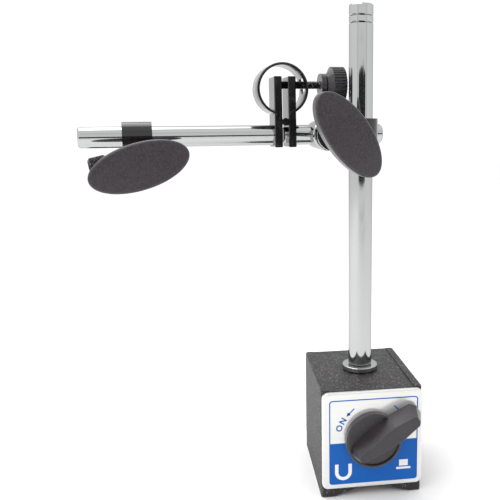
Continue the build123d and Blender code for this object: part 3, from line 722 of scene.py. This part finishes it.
class STAND_OT_label_sign(bpy.types.Operator):
    """Print a plain horseshoe sign and a block on a bar on the blue field"""

    bl_idname = "stand.label_sign"
    bl_label = "Label Sign"

    radius = 0.0033
    width = 0.0017
    leg = 0.0042
    bar = (0.0072, 0.0011)
    block = (0.0044, 0.0032)
    left_x = -0.0145
    right_x = 0.0155
    low_z = 0.0138

    def horseshoe(self):
        """A half ring whose two ends run on as straight legs."""
        deselect()
        bpy.ops.mesh.primitive_plane_add(size=1)
        edit()
        bpy.ops.mesh.select_all(action="SELECT")
        bpy.ops.transform.resize(value=(self.width, self.leg, 1), center_override=(0, 0, 0))
        bpy.ops.transform.translate(value=(self.radius, self.leg / 2, 0))
        pick("EDGE", lambda e: all(abs(v.co.y) < 1e-6 for v in e.verts))
        bpy.ops.mesh.spin(steps=16, angle=pi, center=(0, 0, 0), axis=(0, 0, 1))
        pick("EDGE", lambda e: all(v.co.x < 0 and abs(v.co.y) < 1e-6 for v in e.verts))
        bpy.ops.mesh.extrude_edges_move(TRANSFORM_OT_translate={"value": (0, self.leg, 0)})
        return bpy.context.object

    def block_on_bar(self):
        """A block that stands a little above a bar."""
        deselect()
        panels = []
        for (wide, tall), lift in ((self.bar, 0), (self.block, self.block[1] * 0.85)):
            bpy.ops.mesh.primitive_plane_add(size=1, location=(0, lift, 0))
            bpy.context.object.scale = (wide, tall, 1)
            panels.append(bpy.context.object)
        for panel in panels:
            panel.select_set(True)
        bpy.ops.object.transform_apply(location=True, rotation=True, scale=True)
        bpy.ops.object.join()
        edit()
        return bpy.context.object

    def execute(self, context):
        sizes = context.scene.stand_label
        for name, outline, x in (
            ("label_sign", self.horseshoe, self.left_x),
            ("label_block", self.block_on_bar, self.right_x),
        ):
            outline()
            raise_ink(sizes.ink)
            leave_edit()
            sign = name_piece(name, "white_ink")
            place(sign, plate_matrix(x, self.low_z))
            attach(sign, "base")
        return {"FINISHED"}


# ------------------------------------------------------------------ screws


def ring_cuts(count):
    """Cut the cylinder that is being edited into rings of equal length."""
    pick("EDGE", lambda e: abs(e.verts[0].co.z - e.verts[1].co.z) > 1e-6)
    bpy.ops.mesh.subdivide(number_cuts=count - 1)


def close_end(z, steps):
    """Close the open end at a height by drawing its rim inwards and along."""
    pick("EDGE", lambda e: e.is_boundary and all(abs(v.co.z - z) < 1e-6 for v in e.verts))
    for factor, shift in steps:
        bpy.ops.mesh.extrude_edges_move(TRANSFORM_OT_translate={"value": (0, 0, shift)})
        bpy.ops.transform.resize(value=(factor, factor, 1), center_override=(0, 0, 0))
    bpy.ops.mesh.edge_face_add()


class STAND_OT_knurled_screw(bpy.types.Operator):
    """Model the stem holder's screw with its diamond-knurled head"""

    bl_idname = "stand.knurled_screw"
    bl_label = "Knurled Screw"

    def execute(self, context):
        sizes = context.scene.stand_knurl
        origin = Vector(JOINTS["stem_screw_turn"]["pos_m"])
        axis = Vector(JOINTS["stem_screw_turn"]["axis"])
        low, high, radius = reach("stem_screw", origin, axis)
        knurled = sizes.head - 2 * sizes.edge
        body = radius - sizes.depth
        deselect()
        bpy.ops.mesh.primitive_cylinder_add(
            vertices=sizes.around, radius=body, depth=knurled, end_fill_type="NOTHING"
        )
        edit()
        ring_cuts(sizes.rows)
        bpy.ops.mesh.select_all(action="SELECT")
        bpy.ops.mesh.poke()
        # the first grid goes, which leaves diamonds between the centres of its faces
        step = knurled / sizes.rows
        row_heights = [step * row - knurled / 2 for row in range(sizes.rows + 1)]

        def on_grid(vertex):
            return min(abs(vertex.co.z - height) for height in row_heights) < step * 0.1

        pick("EDGE", lambda e: not e.is_boundary and all(on_grid(v) for v in e.verts))
        bpy.ops.mesh.dissolve_edges(use_verts=False)
        pick("FACE", lambda face: len(face.verts) == 4)
        bpy.ops.mesh.poke(offset=sizes.depth)
        inner = (body - sizes.edge) / body
        low_end = ((1, 0), (inner, -sizes.edge), (0.82, 0), (0.93, sizes.edge * 0.5))
        close_end(-knurled / 2, low_end)
        to_shank = sizes.shank / (body - sizes.edge)
        shank_length = high - low - sizes.head
        shank = ((to_shank, 0), (1, shank_length - sizes.edge), (0.8, sizes.edge))
        close_end(knurled / 2, ((inner, sizes.edge), *shank))
        leave_edit()
        screw = name_piece("knurled_screw", "knurl")
        middle = origin + axis * (low + sizes.head / 2)
        side = BACK.cross(axis)
        place(screw, axes(side, BACK, axis * side.cross(BACK).dot(axis), middle))
        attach(screw, "stem_lock")
        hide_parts("stem_screw")
        return {"FINISHED"}


class STAND_OT_fine_thread(bpy.types.Operator):
    """Model the fine adjuster's screw with its thread"""

    bl_idname = "stand.fine_thread"
    bl_label = "Fine Screw"

    def execute(self, context):
        sizes = context.scene.stand_screw
        origin = Vector(JOINTS["fine_knob_turn"]["pos_m"])
        low, high, radius = reach("fine_screw", origin, ALONG)
        threaded = high - low - sizes.tip
        turns = round(threaded / sizes.pitch)
        deselect()
        bpy.ops.mesh.primitive_cylinder_add(
            vertices=32, radius=radius, depth=threaded, end_fill_type="NOTHING"
        )
        edit()
        ring_cuts(2 * turns)
        half_pitch = threaded / (2 * turns)

        def is_root(vertex):
            return round((vertex.co.z + threaded / 2) / half_pitch) % 2 == 1

        pick("VERT", is_root)
        root = (radius - sizes.depth) / radius
        bpy.ops.transform.resize(value=(root, root, 1), center_override=(0, 0, 0))
        close_end(-threaded / 2, ((0.8, -sizes.tip * 0.3), (0.6, -sizes.tip * 0.7)))
        close_end(threaded / 2, ((0.9, 0),))
        leave_edit()
        screw = name_piece("fine_thread", "knurl")
        middle = origin + ALONG * (high - threaded / 2)
        place(screw, axes(BACK, UP, ALONG, middle))
        bpy.ops.object.shade_smooth_by_angle(angle=radians(30))
        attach(screw, "fine_drive")
        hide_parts("fine_screw")
        return {"FINISHED"}


# ------------------------------------------------------------------ spring band


class STAND_OT_spring_band(bpy.types.Operator):
    """Model the open spring band between the adjuster's jaws"""

    bl_idname = "stand.spring_band"
    bl_label = "Spring Band"

    def execute(self, context):
        sizes = context.scene.stand_band
        low, high, _ = reach("spring_band", PIVOT, BACK)
        width = high - low
        middle_r = sizes.radius - sizes.thickness / 2
        open_angle = 2 * (sizes.hook / middle_r)
        deselect()
        # the strip's section, swept round the band's axis, which is the local y
        bpy.ops.mesh.primitive_plane_add(size=1)
        edit()
        bpy.ops.mesh.select_all(action="SELECT")
        bpy.ops.transform.resize(value=(sizes.thickness, width, 1), center_override=(0, 0, 0))
        bpy.ops.transform.translate(value=(middle_r, 0, 0))
        start = -pi / 2 + open_angle / 2
        bpy.ops.mesh.spin(
            steps=72, angle=2 * pi - open_angle, center=(0, 0, 0), axis=(0, 1, 0)
        )
        leave_edit()
        band = name_piece("band", "spring_steel")
        deselect()
        bpy.ops.mesh.primitive_cylinder_add(
            vertices=48,
            radius=sizes.hole,
            depth=3 * sizes.thickness,
            location=(middle_r, 0, sizes.rise_of_hole),
            rotation=(0, pi / 2, 0),
        )
        drill = bpy.context.object
        centre = PIVOT - ALONG * sizes.shift + UP * sizes.rise + BACK * (low + high) / 2
        placed = axes(ALONG, BACK, UP, centre)
        place(band, placed @ Matrix.Rotation(-start, 4, "Y"))
        place(drill, placed @ drill.matrix_world)
        cut(band, drill)
        apply_modifier(band, "BEVEL", width=sizes.edge, segments=3, angle_limit=radians(50))
        bpy.ops.object.shade_smooth_by_angle(angle=radians(35))
        flex = ALONG * sizes.flex
        centre + flex
        centre - flex
        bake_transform(band)
        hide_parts("spring_band")
        return {"FINISHED"}


# ------------------------------------------------------------------ finishes and stage


class STAND_OT_finish_nodes(bpy.types.Operator):
    """Make every finish and give each node of the frame its own"""

    bl_idname = "stand.finish_nodes"
    bl_label = "Finish Nodes"

    def execute(self, context):
        FINISHES.update(make_finishes(context.scene.stand_colours))
        for part in frame["record"]["subparts"]:
            for slot in NODES[part["node"]].material_slots:
                slot.material = FINISHES[part["material_slot"]]
        # the pin's outer end is painted over with the block
        for slot in NODES["stop_pin"].material_slots:
            slot.material = FINISHES["black_paint"]
        return {"FINISHED"}


def soft_box(name, spot, aim, size, watts, tall=1.0):
    """A rectangular studio light that looks at a point."""
    light = bpy.data.lights.new(name, "AREA")
    light.shape = "RECTANGLE"
    light.size = size
    light.size_y = size * tall
    light.energy = watts
    lamp = bpy.data.objects.new(name, light)
    bpy.context.scene.collection.objects.link(lamp)
    lamp.location = spot
    lamp.rotation_euler = (Vector(aim) - Vector(spot)).to_track_quat("-Z", "Y").to_euler()


def studio_sky(strength):
    """White all round, a little darker in front, with a faint seam round that part."""
    world = bpy.data.worlds.new("studio")
    world.use_nodes = True
    nodes, links = world.node_tree.nodes, world.node_tree.links
    direction = nodes.new("ShaderNodeTexCoord")
    split = nodes.new("ShaderNodeSeparateXYZ")
    flip = nodes.new("ShaderNodeMath")
    flip.operation = "MULTIPLY"
    flip.inputs[1].default_value = -1
    ramp = nodes.new("ShaderNodeValToRGB")
    stops = ((0.66, 1.0), (0.71, 0.74), (0.75, 0.74), (0.80, 0.92), (1.0, 0.94))
    for place, grey in stops[2:]:
        ramp.color_ramp.elements.new(place)
    for element, (place, grey) in zip(ramp.color_ramp.elements, stops):
        element.position = place
        element.color = (grey, grey, grey, 1)
    links.new(direction.outputs["Generated"], split.inputs[0])
    links.new(split.outputs[1], flip.inputs[0])
    links.new(flip.outputs[0], ramp.inputs[0])
    links.new(ramp.outputs[0], nodes["Background"].inputs["Color"])
    nodes["Background"].inputs["Strength"].default_value = strength
    return world


class STAND_OT_stage(bpy.types.Operator):
    """Set up the camera, the floor, the backdrop and the lights"""

    bl_idname = "stand.stage"
    bl_label = "Stage"

    def execute(self, context):
        sizes = context.scene.stand_stage
        scene = context.scene
        camera = bpy.data.objects.new("camera", bpy.data.cameras.new("camera"))
        scene.collection.objects.link(camera)
        camera.data.lens = sizes.lens
        camera.data.sensor_width = 36
        camera.data.shift_x, camera.data.shift_y = sizes.shift
        camera.data.clip_start = 0.01
        turn = Matrix.Rotation(-sizes.yaw, 4, "Z") @ Matrix.Rotation(pi / 2 - sizes.pitch, 4, "X")
        roll = Matrix.Rotation(sizes.roll, 4, "Z")
        camera.matrix_world = Matrix.Translation(sizes.eye) @ turn @ roll
        scene.camera = camera
        scene.view_settings.view_transform = "Standard"

        FINISHES["stage_white"] = Finish("stage_white").surface(
            Base_Color=(0.96, 0.96, 0.96), Roughness=0.8
        )
        FINISHES["stage_black"] = Finish("stage_black").surface(
            Base_Color=(0.01, 0.01, 0.01), Roughness=0.9
        )
        deselect()
        bpy.ops.mesh.primitive_plane_add(size=2 * sizes.floor)
        floor = name_piece("floor", "stage_white")

        # a dark card behind the camera, which only reflections see
        deselect()
        bpy.ops.mesh.primitive_plane_add(
            size=1, location=(0, -sizes.card_distance, sizes.eye[2]), rotation=(pi / 2, 0, 0)
        )
        card = name_piece("dark_card", "stage_black")
        card.scale = (sizes.card_width, sizes.card_height, 1)
        card.visible_camera = False
        scene.world = studio_sky(sizes.sky)

        middle = (-0.03, 0, 0.12)
        soft_box("key", (-0.8, -0.7, 0.95), middle, 0.7, 4.2)
        soft_box("top", (-0.3, 0.3, 1.1), middle, 0.8, 5.0)
        return {"FINISHED"}


# ------------------------------------------------------------------ panel and registration

OPERATORS = (
    STAND_OT_finish_nodes,
    STAND_OT_label_outline,
    STAND_OT_label_marks,
    STAND_OT_label_sign,
    STAND_OT_knurled_screw,
    STAND_OT_fine_thread,
    STAND_OT_spring_band,
    STAND_OT_stage,
)

SETTINGS = {
    "stand_colours": StandColours,
    "stand_label": LabelSizes,
    "stand_knurl": KnurlSizes,
    "stand_screw": ScrewSizes,
    "stand_band": BandSizes,
    "stand_stage": StageSizes,
}


class STAND_PT_panel(bpy.types.Panel):
    """The stand's pieces and settings"""

    bl_idname = "STAND_PT_panel"
    bl_label = "Magnetic Base Stand"
    bl_space_type = "VIEW_3D"
    bl_region_type = "UI"
    bl_category = "Stand"

    def draw(self, context):
        for operator in OPERATORS:
            self.layout.operator(operator.bl_idname)
        for name, group in SETTINGS.items():
            box = self.layout.box()
            box.label(text=group.__doc__)
            for field in group.__annotations__:
                box.prop(getattr(context.scene, name), field)


def register():
    for cls in (*SETTINGS.values(), *OPERATORS, STAND_PT_panel):
        bpy.utils.register_class(cls)
    for name, group in SETTINGS.items():
        setattr(bpy.types.Scene, name, PointerProperty(type=group))


def unregister():
    for name in SETTINGS:
        delattr(bpy.types.Scene, name)
    for cls in (*SETTINGS.values(), *OPERATORS, STAND_PT_panel):
        bpy.utils.unregister_class(cls)


def main():
    register()
    bpy.ops.stand.finish_nodes()
    bpy.ops.stand.label_outline()
    bpy.ops.stand.label_marks()
    bpy.ops.stand.label_sign()
    bpy.ops.stand.knurled_screw()
    bpy.ops.stand.fine_thread()
    bpy.ops.stand.spring_band()
    bpy.ops.stand.stage()


if __name__ == "__main__":
    main()
